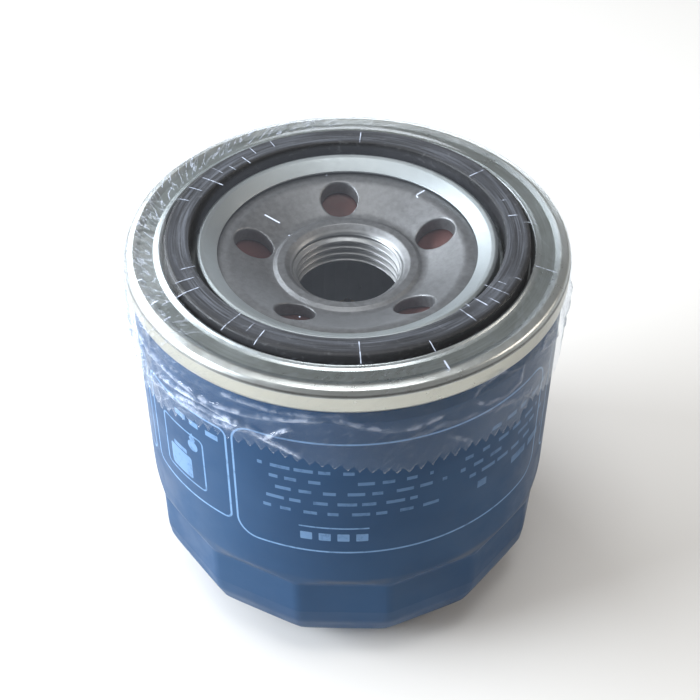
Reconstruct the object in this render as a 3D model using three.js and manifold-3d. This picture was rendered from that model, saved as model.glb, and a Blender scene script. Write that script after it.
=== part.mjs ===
// Spin-on oil filter for a small engine, modelled as the separate pieces it is assembled from.
// Units are millimetres. +Z points from the closed end of the can to the threaded end.
// The origin is the centre of the flat disc that the closed end stands on.
import * as THREE from 'three';
import { mergeVertices } from 'three/addons/utils/BufferGeometryUtils.js';
import Module from 'manifold-3d';

const wasm = await Module();
wasm.setup();

// ---- driving dimensions ---------------------------------------------------
const CAN_R = 39.0; // outside radius of the can wall
const CAN_T = 0.5; // can sheet
const FLATS = 14; // wrench flats round the closed end
const FLAT_APOTHEM = 38.0; // centre to flat: 76 across flats
const FLAT_TOP_Z = 23.9; // the flats run out here
const FLAT_PHASE = -1.2; // degrees: the front flat sits this far towards -X
const EDGE_PHASE = FLAT_PHASE - 180 / FLATS; // the edge between two flats
const RIM_SEG = FLATS * 3; // facets round the can, lid and film
const NECK_R = 38.1; // can neck under the rolled seam
const SEAM_R = 39.7; // outside of the rolled seam
const SEAM_TOP_Z = 73.8;
const SEAM_LOW_Z = 68.7;
const BAND_Z = 73.4; // flat band of the lid, outside the gasket
const LIP_R = 26.4; // inner lip of the gasket groove
const LID_BORE_R = 23.3; // the lid's inner edge, resting on the plate
const GASKET_IN_R = 28.1;
const GASKET_OUT_R = 32.5;
const GASKET_TOP_Z = 75.0;
const PLATE_TOP_Z = 70.7; // flat shoulder of the base plate
const PLATE_R = 33.6;
const BOSS_Z = 68.1; // flat ring round the threaded mouth
const THREAD_PITCH = 1.5; // M20 x 1.5
const THREAD_MAJOR_R = 10.0;
const THREAD_MINOR_R = 9.19;
const THREAD_TOP_Z = 66.9;
const THREAD_LOW_Z = 60.7;
const COLLAR_LOW_Z = 60.3;
const INLETS = 5; // oil inlet holes in the plate
const INLET_R = 3.5;
const INLET_CIRCLE_R = 17.6;
const INLET_FIRST_DEG = 95; // measured from +X
const ELEMENT_R = 32.4; // end caps of the filter element
const PLEATS = 32;
const MEDIA_LOW_Z = 15.7;
const MEDIA_TOP_Z = 56.6;
const TUBE_IN_R = 13.7;
const TUBE_OUT_R = 14.2;
const FILM_T = 0.25; // drawn thicker than the real film so that it stays a solid
const FILM_IN_R = 40.0;
const FILM_LOW_Z = 55.0;

// ---- helpers --------------------------------------------------------------
const deg = Math.PI / 180;
const v2 = (list) => list.map(([r, z]) => new THREE.Vector2(r, z));

// Weld a geometry by position, drop collapsed triangles and face it outwards.
function weld(geometry) {
  const g = geometry.index ? geometry.clone() : mergeVertices(geometry);
  for (const name of Object.keys(g.attributes)) if (name !== 'position') g.deleteAttribute(name);
  const m = mergeVertices(g, 1e-4);
  const idx = m.index.array;
  const p = m.attributes.position;
  const keep = [];
  let volume = 0;
  const a = new THREE.Vector3();
  const b = new THREE.Vector3();
  const c = new THREE.Vector3();
  for (let i = 0; i < idx.length; i += 3) {
    const [i0, i1, i2] = [idx[i], idx[i + 1], idx[i + 2]];
    if (i0 === i1 || i1 === i2 || i0 === i2) continue;
    a.fromBufferAttribute(p, i0);
    b.fromBufferAttribute(p, i1);
    c.fromBufferAttribute(p, i2);
    volume += a.dot(b.clone().cross(c)) / 6;
    keep.push(i0, i1, i2);
  }
  if (volume < 0) for (let i = 0; i < keep.length; i += 3) [keep[i + 1], keep[i + 2]] = [keep[i + 2], keep[i + 1]];
  m.setIndex(keep);
  return m;
}

const toSolid = (geometry) => {
  const g = weld(geometry);
  return new wasm.Manifold(
    new wasm.Mesh({
      numProp: 3,
      vertProperties: new Float32Array(g.attributes.position.array),
      triVerts: new Uint32Array(g.index.array),
    }),
  );
};

const fromSolid = (solid) => {
  const mesh = solid.getMesh();
  const g = new THREE.BufferGeometry();
  g.setAttribute('position', new THREE.BufferAttribute(new Float32Array(mesh.vertProperties), 3));
  g.setIndex(new THREE.BufferAttribute(new Uint32Array(mesh.triVerts), 1));
  return g;
};

// A profile turned about +Z. Column i stands at angle phase + i * 360 / segments,
// measured from -Y towards +X. shape() may move any point of the turned surface.
function turned(profile, segments, phase = 0, shape = null) {
  const g = new THREE.LatheGeometry(v2(profile), segments, phase * deg, 2 * Math.PI);
  if (shape) {
    const p = g.attributes.position;
    const rows = profile.length;
    for (let i = 0; i <= segments; i++) {
      for (let j = 0; j < rows; j++) {
        const turn = i / segments;
        const [r, z] = shape(profile[j], j, turn);
        const phi = phase * deg + turn * 2 * Math.PI;
        p.setXYZ(i * rows + j, r * Math.sin(phi), z, r * Math.cos(phi));
      }
    }
  }
  g.rotateX(Math.PI / 2);
  return weld(g);
}
const ring = (profile, segments, phase, shape) => turned([...profile, profile[0]], segments, phase, shape);

const drill = (radius, z0, z1, x, y, sides = 20) => {
  const g = new THREE.CylinderGeometry(radius, radius, z1 - z0, sides);
  g.rotateX(Math.PI / 2);
  g.translate(x, y, (z0 + z1) / 2);
  return toSolid(g);
};

class Helix extends THREE.Curve {
  constructor(radius, z0, z1, turns, start = 0) {
    super();
    Object.assign(this, { radius, z0, z1, turns, start });
  }
  getPoint(t, target = new THREE.Vector3()) {
    const a = this.start + t * this.turns * 2 * Math.PI;
    // the last three quarters of a turn at each end lie flat, as ground spring ends do
    const flat = 0.75 / this.turns;
    const u = THREE.MathUtils.clamp((t - flat) / (1 - 2 * flat), 0, 1);
    const end = t < flat ? (t / flat - 1) * 0.5 : t > 1 - flat ? ((t - 1) / flat + 1) * 0.5 : 0;
    const rise = (this.z1 - this.z0) * 0.16;
    const z = this.z0 + rise + (this.z1 - this.z0 - 2 * rise) * u + end * 2 * rise;
    return target.set(this.radius * Math.cos(a), this.radius * Math.sin(a), z);
  }
}
const coil = (radius, wire, z0, z1, turns, steps, start) => {
  const section = new THREE.Shape();
  for (let k = 0; k < 5; k++) {
    const x = wire * Math.cos(k * 0.4 * Math.PI);
    const y = wire * Math.sin(k * 0.4 * Math.PI);
    k ? section.lineTo(x, y) : section.moveTo(x, y);
  }
  section.closePath();
  return weld(
    new THREE.ExtrudeGeometry(section, {
      steps,
      extrudePath: new Helix(radius, z0 + wire, z1 - wire, turns, start),
      bevelEnabled: false,
    }),
  );
};

const filter = new THREE.Group();
filter.name = 'spin_on_oil_filter';
const looks = {
  paint: { color: 0x3f66a0, metalness: 0.3, roughness: 0.32 },
  zinc: { color: 0xb9c2c9, metalness: 0.9, roughness: 0.32 },
  plate: { color: 0x86898d, metalness: 0.75, roughness: 0.5 },
  rubber: { color: 0x1b1c1f, metalness: 0, roughness: 0.6 },
  silicone: { color: 0x7d3a33, metalness: 0, roughness: 0.55 },
  steel: { color: 0x9aa0a6, metalness: 0.85, roughness: 0.4 },
  spring: { color: 0x6d7277, metalness: 0.9, roughness: 0.35 },
  paper: { color: 0xd8c79a, metalness: 0, roughness: 0.95 },
  adhesive: { color: 0x9a5a2b, metalness: 0, roughness: 0.7 },
  film: { color: 0xe4ecf4, metalness: 0, roughness: 0.12, transparent: true, opacity: 0.28 },
};
function add(name, geometry, look) {
  const g = geometry;
  g.computeVertexNormals();
  const mesh = new THREE.Mesh(g, new THREE.MeshStandardMaterial({ ...looks[look], flatShading: true }));
  mesh.name = name;
  filter.add(mesh);
  return mesh;
}

// ---- can ------------------------------------------------------------------
// Deep-drawn cup: rounded closed end, 14 pressed flats, necked in under the seam,
// with its rim rolled outwards and down to hook into the lid.
const canProfile = [
  [0, 0], [22, 0], [28.5, 0.7], [33.4, 2.8], [37.0, 6.7], [38.6, 11.0], [CAN_R, 14],
  [CAN_R, FLAT_TOP_Z], [CAN_R, FLAT_TOP_Z + 1.4], [CAN_R, 65.9], [NECK_R, 67.8],
  [NECK_R, 71.75], [38.7, 71.75], [38.7, 69.5], [39.05, 69.5], [39.05, 71.95], [38.6, 72.5],
  [38.0, 72.55], [NECK_R - CAN_T, 72.2],
  [NECK_R - CAN_T, 67.6], [CAN_R - CAN_T, 65.7],
  [CAN_R - CAN_T, FLAT_TOP_Z + 1.3], [CAN_R - CAN_T, FLAT_TOP_Z - 0.1], [CAN_R - CAN_T, 14.1],
  [36.5, 6.9], [33.1, 3.2], [28.4, 1.2], [22, CAN_T], [0, CAN_T],
];
add(
  'can_shell',
  turned(canProfile, RIM_SEG, EDGE_PHASE, ([r, z], j, turn) => {
    if (z > FLAT_TOP_Z + 0.5 || z < 6 || r < 30) return [r, z];
    const a = ((turn * FLATS) % 1) - 0.5; // place within one flat, -0.5 to 0.5
    const apothem = FLAT_APOTHEM - (j < 11 ? 0 : CAN_T);
    return [Math.min(r, apothem / Math.cos((a * 2 * Math.PI) / FLATS)), z];
  }),
  'paint',
);

// ---- lid, plate and gasket --------------------------------------------------
// Zinc-coated lid: inner lip, gasket groove, flat band and the rolled seam that
// wraps the can's rim in a double hook.
add(
  'seaming_lid',
  ring(
    [
      [LID_BORE_R, 71.45], [25.6, 73.05], [26.3, 73.25], [26.9, 72.95], [27.1, 70.1],
      [33.1, 70.0], [33.2, 73.4], [33.7, 73.7],
      [34.2, BAND_Z], [36.9, BAND_Z], [38.0, SEAM_TOP_Z], [39.1, 73.5], [SEAM_R, 72.5],
      [SEAM_R, 69.4], [39.2, SEAM_LOW_Z], [38.5, SEAM_LOW_Z],
      [38.22, 69.0], [38.22, 71.6], [38.58, 71.6], [38.58, 69.35], [39.17, 69.35], [39.17, 72.2],
      [38.75, 72.95], [37.7, 73.05], [37.0, 72.8], [33.8, 72.8], [33.7, 69.45],
      [26.6, 69.4], [26.35, 72.4], [25.8, 72.4],
      [23.55, 70.95],
    ],
    RIM_SEG,
    EDGE_PHASE,
  ),
  'zinc',
);

add(
  'seam_sealing_compound',
  ring([[37.85, 72.68], [38.55, 72.62], [38.5, 72.82], [37.9, 72.88]], RIM_SEG, EDGE_PHASE),
  'adhesive',
);

// Base plate: flat shoulder, dished floor, flat boss and a collar threaded M20 x 1.5.
// The thread is a true helix; its rows are cut off level at both ends of the collar.
{
  const depth = THREAD_MAJOR_R - THREAD_MINOR_R;
  const crest = 0.16; // share of the pitch at the crest, and at the root
  const marks = [0, crest, 0.5, 0.5 + crest];
  const radiusAt = (z, turn) => {
    let f = z / THREAD_PITCH - turn;
    f -= Math.floor(f);
    if (f <= marks[1]) return THREAD_MINOR_R;
    if (f <= marks[2]) return THREAD_MINOR_R + (depth * (f - marks[1])) / (marks[2] - marks[1]);
    if (f <= marks[3]) return THREAD_MAJOR_R;
    return THREAD_MAJOR_R - (depth * (f - marks[3])) / (1 - marks[3]);
  };
  const first = Math.floor(THREAD_LOW_Z / THREAD_PITCH) - 2;
  const last = Math.ceil(THREAD_TOP_Z / THREAD_PITCH) + 1;
  const rows = [];
  for (let n = last; n >= first; n--) for (let k = 3; k >= 0; k--) rows.push(n + marks[k]);
  const above = [
    [PLATE_R, 66.6], [PLATE_R, 69.1], [25.6, 69.1], [24.7, PLATE_TOP_Z], [21.2, PLATE_TOP_Z],
    [14.5, 67.85], [13.4, 67.8], [12.8, BOSS_Z], [11.3, BOSS_Z], [10.2, 67.1],
  ];
  const below = [
    [10.3, COLLAR_LOW_Z], [12.3, COLLAR_LOW_Z], [12.5, 60.6], [12.5, 64.7],
    [13.3, 65.3], [15.5, 65.55], [21.4, 68.2], [24.1, 68.2], [25.2, 66.6],
  ];
  const profile = [...above, ...rows.map((n) => [THREAD_MINOR_R, n]), ...below];
  const plate = ring(profile, 32, 0, ([r, z], j, turn) => {
    const k = j - above.length;
    if (k < 0 || k >= rows.length) return [r, z];
    const at = THREE.MathUtils.clamp((z + turn) * THREAD_PITCH, THREAD_LOW_Z, THREAD_TOP_Z);
    return [radiusAt(at + 1e-7, turn), at];
  });
  let solid = toSolid(plate);
  for (let k = 0; k < INLETS; k++) {
    const a = (INLET_FIRST_DEG + (360 / INLETS) * k) * deg;
    solid = solid.subtract(
      drill(INLET_R, 60, 75, INLET_CIRCLE_R * Math.cos(a), INLET_CIRCLE_R * Math.sin(a)),
    );
  }
  add('base_plate', fromSolid(solid), 'plate');
}

add(
  'sealing_gasket',
  ring(
    [
      [GASKET_IN_R, 70.3], [GASKET_OUT_R, 70.3],
      [GASKET_OUT_R, 74.6], [GASKET_OUT_R - 0.4, GASKET_TOP_Z], [GASKET_IN_R + 0.4, GASKET_TOP_Z],
      [GASKET_IN_R, 74.6],
    ],
    42,
  ),
  'rubber',
);

// ---- anti-drain-back valve --------------------------------------------------
// Silicone ring clamped round the collar; its flap lies under the inlet holes.
add(
  'anti_drain_valve',
  ring(
    [
      [12.8, 61.2], [14.6, 61.2], [15.0, 63.3], [16.2, 64.3], [22.3, 66.9], [23.4, 67.4],
      [23.1, 67.9], [21.4, 67.6], [15.5, 65.2], [13.5, 65.0], [12.8, 64.4],
    ],
    32,
  ),
  'silicone',
);

// ---- filter element -----------------------------------------------------------
add(
  'upper_end_cap',
  ring(
    [
      [12.85, 60.4], [12.85, 60.9], [15.9, 60.9], [17.0, 58.3], [ELEMENT_R - 0.3, 58.3],
      [ELEMENT_R, 58.0], [ELEMENT_R, 53.6], [ELEMENT_R - 0.5, 53.6], [ELEMENT_R - 0.5, 57.8],
      [16.6, 57.8], [15.6, 60.4],
    ],
    32,
  ),
  'steel',
);
add('upper_adhesive_ring', ring([[14.6, 56.9], [31.5, 56.9], [31.5, 57.5], [14.6, 57.5]], 32), 'adhesive');
add(
  'lower_end_cap',
  ring(
    [
      [10.9, 14.0], [ELEMENT_R - 0.3, 14.0], [ELEMENT_R, 14.3], [ELEMENT_R, 18.7], [ELEMENT_R - 0.5, 18.7],
      [ELEMENT_R - 0.5, 14.5], [10.9, 14.5],
    ],
    32,
  ),
  'steel',
);
add('lower_adhesive_ring', ring([[14.6, 14.8], [31.5, 14.8], [31.5, 15.4], [14.6, 15.4]], 32), 'adhesive');

// Perforated centre tube
{
  let tube = toSolid(ring([[TUBE_IN_R, 14.8], [TUBE_OUT_R, 14.8], [TUBE_OUT_R, 57.4], [TUBE_IN_R, 57.4]], 36));
  for (let row = 0; row < 4; row++) {
    for (let k = 0; k < 3; k++) {
      // each drill lies across the tube and makes two holes
      const cut = new THREE.CylinderGeometry(2.2, 2.2, 40, 8);
      cut.rotateZ(Math.PI / 2);
      cut.rotateZ((k * 60 + (row % 2) * 30) * deg);
      cut.translate(0, 0, 21.5 + row * 8);
      tube = tube.subtract(toSolid(cut));
    }
  }
  add('center_tube', fromSolid(tube), 'steel');
}

// Pleated paper: one folded sheet closed into a ring
{
  const outer = new THREE.Shape();
  const inner = new THREE.Path();
  const step = 360 / PLEATS;
  const at = (r, a) => [r * Math.cos(a * deg), r * Math.sin(a * deg)];
  const a = [];
  const b = [];
  for (let k = 0; k < PLEATS; k++) {
    const c = k * step;
    a.push(at(30.5, c - 1.6), at(30.5, c + 1.6), at(15.3, c + step / 2 - 1.0), at(15.3, c + step / 2 + 1.0));
    b.push(at(30.0, c - 0.7), at(30.0, c + 0.7), at(14.8, c + step / 2 - 2.8), at(14.8, c + step / 2 + 2.8));
  }
  a.forEach(([x, y], i) => (i ? outer.lineTo(x, y) : outer.moveTo(x, y)));
  b.reverse().forEach(([x, y], i) => (i ? inner.lineTo(x, y) : inner.moveTo(x, y)));
  outer.closePath();
  inner.closePath();
  outer.holes.push(inner);
  const g = new THREE.ExtrudeGeometry(outer, { depth: MEDIA_TOP_Z - MEDIA_LOW_Z, bevelEnabled: false });
  g.translate(0, 0, MEDIA_LOW_Z);
  add('pleated_media', weld(g), 'paper');
  // Steel clip that closes the sheet, crimped over the pleat that points to +X
  const u = new THREE.Shape();
  [[27.6, -1.5], [31.3, -1.5], [31.3, 1.5], [27.6, 1.5], [27.6, 1.15], [30.9, 1.15], [30.9, -1.15], [27.6, -1.15]]
    .forEach(([x, y], i) => (i ? u.lineTo(x, y) : u.moveTo(x, y)));
  u.closePath();
  const clip = new THREE.ExtrudeGeometry(u, { depth: MEDIA_TOP_Z - MEDIA_LOW_Z, bevelEnabled: false });
  clip.translate(0, 0, MEDIA_LOW_Z);
  add('media_seam_clip', weld(clip), 'steel');
}

// ---- bypass valve, in the lower end cap ----------------------------------------
add(
  'bypass_valve_seat',
  ring([[6.0, 13.0], [12.8, 13.0], [12.8, 13.6], [10.6, 13.7], [10.6, 15.8], [10.1, 15.8], [10.1, 13.7], [6.0, 13.6]], 24),
  'steel',
);
add('bypass_valve_seal', ring([[4.4, 13.9], [8.3, 13.9], [8.3, 14.8], [4.4, 14.8]], 20), 'rubber');
add(
  'bypass_valve_poppet',
  turned([[0, 14.2], [3.9, 14.2], [3.9, 15.1], [8.2, 15.1], [8.2, 15.7], [3.6, 15.7], [3.0, 16.3], [1.2, 16.6], [1.2, 27.6], [0.8, 28.0], [0, 28.0]], 16),
  'steel',
);
add('bypass_valve_spring', coil(5.2, 0.42, 16.0, 25.2, 5.5, 62, 0.4), 'spring');
{
  let cage = toSolid(
    ring([[1.5, 25.5], [8.9, 25.5], [9.0, 25.4], [9.0, 14.0], [9.7, 14.0], [9.7, 25.6], [9.3, 26.1], [1.5, 26.1]], 24),
  );
  for (let k = 0; k < 3; k++) {
    const box = new THREE.BoxGeometry(12, 9.4, 8.2);
    box.translate(10, 0, 20.2);
    box.rotateZ((k * 120 + 30) * deg);
    cage = cage.subtract(toSolid(box));
  }
  add('bypass_spring_cage', fromSolid(cage), 'steel');
}

// Spring that holds the element up against the valve ring and plate
add('support_spring', coil(16.5, 0.9, 0.85, 13.7, 3.6, 50, 1.1), 'spring');

// ---- clear shrink film over the threaded end ------------------------------------
add(
  'shrink_film',
  turned(
    [
      [0, GASKET_TOP_Z + 0.3], [32.6, GASKET_TOP_Z + 0.3], [38.5, 74.2], [39.5, 73.8], [FILM_IN_R, 73.0],
      [FILM_IN_R, FILM_LOW_Z], [FILM_IN_R + FILM_T, FILM_LOW_Z], [FILM_IN_R + FILM_T, 73.05],
      [39.7, 73.98], [38.6, 74.44], [32.65, GASKET_TOP_Z + 0.3 + FILM_T], [0, GASKET_TOP_Z + 0.3 + FILM_T],
    ],
    RIM_SEG,
    EDGE_PHASE,
  ),
  'film',
);

export default filter;
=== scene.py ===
# Looks of the spin-on oil filter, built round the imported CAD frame.
# Lengths in this file are millimetres unless a name ends in _m; meshes are written in metres.
import math

import bmesh
import bpy
import numpy as np
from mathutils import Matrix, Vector, geometry


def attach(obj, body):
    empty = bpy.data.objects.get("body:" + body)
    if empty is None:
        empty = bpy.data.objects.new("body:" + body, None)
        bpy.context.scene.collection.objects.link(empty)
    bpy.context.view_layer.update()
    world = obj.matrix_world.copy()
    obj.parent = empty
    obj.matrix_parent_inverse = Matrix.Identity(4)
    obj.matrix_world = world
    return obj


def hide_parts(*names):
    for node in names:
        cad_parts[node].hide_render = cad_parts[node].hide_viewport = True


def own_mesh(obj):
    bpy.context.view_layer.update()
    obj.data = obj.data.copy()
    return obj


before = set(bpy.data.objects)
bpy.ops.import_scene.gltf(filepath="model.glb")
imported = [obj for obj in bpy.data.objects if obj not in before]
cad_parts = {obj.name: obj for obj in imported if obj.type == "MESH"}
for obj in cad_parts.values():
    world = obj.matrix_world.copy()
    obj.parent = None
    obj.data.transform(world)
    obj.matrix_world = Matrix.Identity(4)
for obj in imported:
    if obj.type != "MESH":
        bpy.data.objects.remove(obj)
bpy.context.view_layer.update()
MM = 0.001
RNG = np.random.default_rng(7)

# ---------------------------------------------------------------- dimensions
CAN_R, CAN_T, FLATS, APOTHEM, FLAT_TOP, FLAT_DEG = 39.0, 0.5, 14, 38.0, 23.9, -1.2
NECK_R, SEAM_R = 38.1, 39.7
PLATE_TOP, BOSS_Z = 70.7, 68.1
INLETS = [(17.6 * math.cos(math.radians(95 + 72 * k)), 17.6 * math.sin(math.radians(95 + 72 * k))) for k in range(5)]
INLET_R = 3.5


# ---------------------------------------------------------------- mesh helpers
def make(name, verts, faces, body, node=None, sharp=38.0, merge=2e-3, mat=None):
    me = bpy.data.meshes.new(name)
    me.from_pydata((np.asarray(verts, float) * MM).tolist(), [], [list(map(int, f)) for f in faces])
    bm = bmesh.new()
    bm.from_mesh(me)
    bmesh.ops.remove_doubles(bm, verts=bm.verts, dist=merge * MM)
    bmesh.ops.dissolve_degenerate(bm, dist=1e-7, edges=bm.edges)
    bmesh.ops.recalc_face_normals(bm, faces=bm.faces)
    bm.to_mesh(me)
    bm.free()
    me.polygons.foreach_set("use_smooth", [True] * len(me.polygons))
    if sharp:
        me.set_sharp_from_angle(angle=math.radians(sharp))
    me.update()
    ob = bpy.data.objects.new(name, me)
    bpy.context.scene.collection.objects.link(ob)
    if mat:
        me.materials.append(mat)
    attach(ob, body)
    if node:
        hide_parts(*([node] if isinstance(node, str) else node))
    return ob


def fillet(pts, closed=True, steps=5):
    """Rounds each (r, z, radius) corner of a profile."""
    out, n = [], len(pts)
    for i, p in enumerate(pts):
        r, z, rad = (list(p) + [0])[:3]
        c = np.array([r, z], float)
        if not rad or (not closed and i in (0, n - 1)):
            out.append(c)
            continue
        a, b = np.array(pts[i - 1][:2], float), np.array(pts[(i + 1) % n][:2], float)
        u, v = a - c, b - c
        lu, lv = np.linalg.norm(u), np.linalg.norm(v)
        u, v = u / lu, v / lv
        half = math.acos(np.clip(u @ v, -1, 1)) / 2
        t = min(rad / max(math.tan(half), 1e-3), 0.48 * lu, 0.48 * lv)
        p0, p1 = c + u * t, c + v * t
        for k in range(steps + 1):
            s = k / steps
            w = 0.94  # close to a circle's arc
            q = (1 - s) ** 2 * p0 + 2 * s * (1 - s) * w * c + s**2 * p1
            out.append(q / ((1 - s) ** 2 + 2 * s * (1 - s) * w + s**2))
    return [tuple(q) for q in out]


def split(pts, longest, closed=True):
    """Adds points along long straight runs of a profile."""
    out = []
    n = len(pts)
    for i in range(n if closed else n - 1):
        a, b = np.array(pts[i]), np.array(pts[(i + 1) % n])
        k = max(1, int(np.ceil(np.linalg.norm(b - a) / longest)))
        out += [tuple(a + (b - a) * j / k) for j in range(k)]
    return out if closed else out + [tuple(pts[-1])]


def turn(profile, n, deg0=0.0, shape=None, closed=True):
    """A profile turned about Z. Angles run from -Y towards +X."""
    m = len(profile)
    prof = np.array(profile, float)
    th = math.radians(deg0) + np.arange(n) * 2 * math.pi / n
    r = np.repeat(prof[None, :, 0], n, 0)
    z = np.repeat(prof[None, :, 1], n, 0)
    if shape:
        r, z = shape(r, z, th[:, None], np.arange(m)[None, :])
    x, y = r * np.sin(th)[:, None], -r * np.cos(th)[:, None]
    verts = np.stack([x, y, z], -1).reshape(-1, 3)
    faces = []
    last = m if closed else m - 1
    for i in range(n):
        a, b = i * m, ((i + 1) % n) * m
        for j in range(last):
            k = (j + 1) % m
            faces.append((a + j, b + j, b + k, a + k))
    return verts, faces


def wave_noise(u, v, period, seed):
    """Smooth gradient noise that repeats after `period` cells of u."""
    g = np.random.default_rng(seed).uniform(0, 2 * math.pi, (period, 97))
    u, v = np.broadcast_arrays(u, v)
    i, j = np.floor(u).astype(int), np.floor(v).astype(int)
    fu, fv = u - i, v - j
    su, sv = fu**3 * (fu * (fu * 6 - 15) + 10), fv**3 * (fv * (fv * 6 - 15) + 10)

    def corner(a, b):
        ang = g[(i + a) % period, (j + b) % 97]
        return np.cos(ang) * (fu - a) + np.sin(ang) * (fv - b)

    lo = corner(0, 0) * (1 - su) + corner(1, 0) * su
    hi = corner(0, 1) * (1 - su) + corner(1, 1) * su
    return (lo * (1 - sv) + hi * sv) * 1.5


def smoothstep(e0, e1, x):
    t = np.clip((x - e0) / (e1 - e0), 0, 1)
    return t * t * (3 - 2 * t)


# ---------------------------------------------------------------- node helpers
class E:
    """A number in a node tree, so that a formula reads as one."""

    def __init__(self, nt, v):
        self.nt, self.v = nt, v

    def op(self, kind, *others, clamp=False):
        n = self.nt.nodes.new("ShaderNodeMath")
        n.operation, n.use_clamp = kind, clamp
        for k, o in enumerate((self,) + others):
            o = o.v if isinstance(o, E) else o
            if isinstance(o, (int, float)):
                n.inputs[k].default_value = o
            else:
                self.nt.links.new(o, n.inputs[k])
        return E(self.nt, n.outputs[0])

    def __add__(s, o): return s.op("ADD", o)
    def __sub__(s, o): return s.op("SUBTRACT", o)
    def __mul__(s, o): return s.op("MULTIPLY", o)
    def __truediv__(s, o): return s.op("DIVIDE", o)
    def __rsub__(s, o): return (s * -1.0) + o
    __radd__, __rmul__ = __add__, __mul__
    def abs(s): return s.op("ABSOLUTE")
    def max(s, o): return s.op("MAXIMUM", o)
    def min(s, o): return s.op("MINIMUM", o)
    def floor(s): return s.op("FLOOR")
    def lt(s, o): return s.op("LESS_THAN", o)
    def gt(s, o): return s.op("GREATER_THAN", o)
    def sqrt(s): return s.op("SQRT")

    def ramp(s, lo, hi, a=0.0, b=1.0):
        n = s.nt.nodes.new("ShaderNodeMapRange")
        n.interpolation_type = "SMOOTHSTEP"
        s.nt.links.new(s.v, n.inputs[0])
        for k, v in zip((1, 2, 3, 4), (lo, hi, a, b)):
            n.inputs[k].default_value = v
        return E(s.nt, n.outputs[0])


def material(name, color, rough=0.5, metal=0.0, **sockets):
    m = bpy.data.materials.new(name)
    m.use_nodes = True
    b = m.node_tree.nodes["Principled BSDF"]
    b.inputs["Base Color"].default_value = (*color, 1)
    b.inputs["Roughness"].default_value = rough
    b.inputs["Metallic"].default_value = metal
    for k, v in sockets.items():
        b.inputs[k.replace("_", " ")].default_value = v
    return m, m.node_tree, b


def coords(nt):
    tc = nt.nodes.new("ShaderNodeTexCoord")
    s = nt.nodes.new("ShaderNodeSeparateXYZ")
    nt.links.new(tc.outputs["Object"], s.inputs[0])
    x, y, z = (E(nt, s.outputs[k]) * 1000.0 for k in range(3))
    return tc, x, y, z


def tex(nt, tc, scale, detail=4.0, rough=0.55, kind="ShaderNodeTexNoise", squash=(1, 1, 1), w=0.0):
    mp = nt.nodes.new("ShaderNodeMapping")
    mp.inputs["Scale"].default_value = squash
    mp.inputs["Location"].default_value = (w, w * 0.7, w * 0.3)
    nt.links.new(tc.outputs["Object"], mp.inputs[0])
    n = nt.nodes.new(kind)
    n.inputs["Scale"].default_value = scale
    if kind == "ShaderNodeTexNoise":
        n.inputs["Detail"].default_value = detail
        n.inputs["Roughness"].default_value = rough
    nt.links.new(mp.outputs[0], n.inputs["Vector"])
    return E(nt, n.outputs[0])


def mix_color(nt, fac, a, b):
    n = nt.nodes.new("ShaderNodeMix")
    n.data_type = "RGBA"
    for sock, v in ((n.inputs[0], fac), (n.inputs[6], a), (n.inputs[7], b)):
        if isinstance(v, E):
            nt.links.new(v.v, sock)
        elif isinstance(v, (tuple, list)):
            sock.default_value = (*v, 1) if len(v) == 3 else v
        elif isinstance(v, (int, float)):
            sock.default_value = v
        else:
            nt.links.new(v, sock)
    return n.outputs[2]


def bump(nt, b, height, strength, dist_mm):
    n = nt.nodes.new("ShaderNodeBump")
    n.inputs["Strength"].default_value = strength
    n.inputs["Distance"].default_value = dist_mm * MM
    nt.links.new(height.v, n.inputs["Height"])
    nt.links.new(n.outputs[0], b.inputs["Normal"])
    return n


def put(nt, value, socket):
    nt.links.new(value.v if isinstance(value, E) else value, socket)


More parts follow.
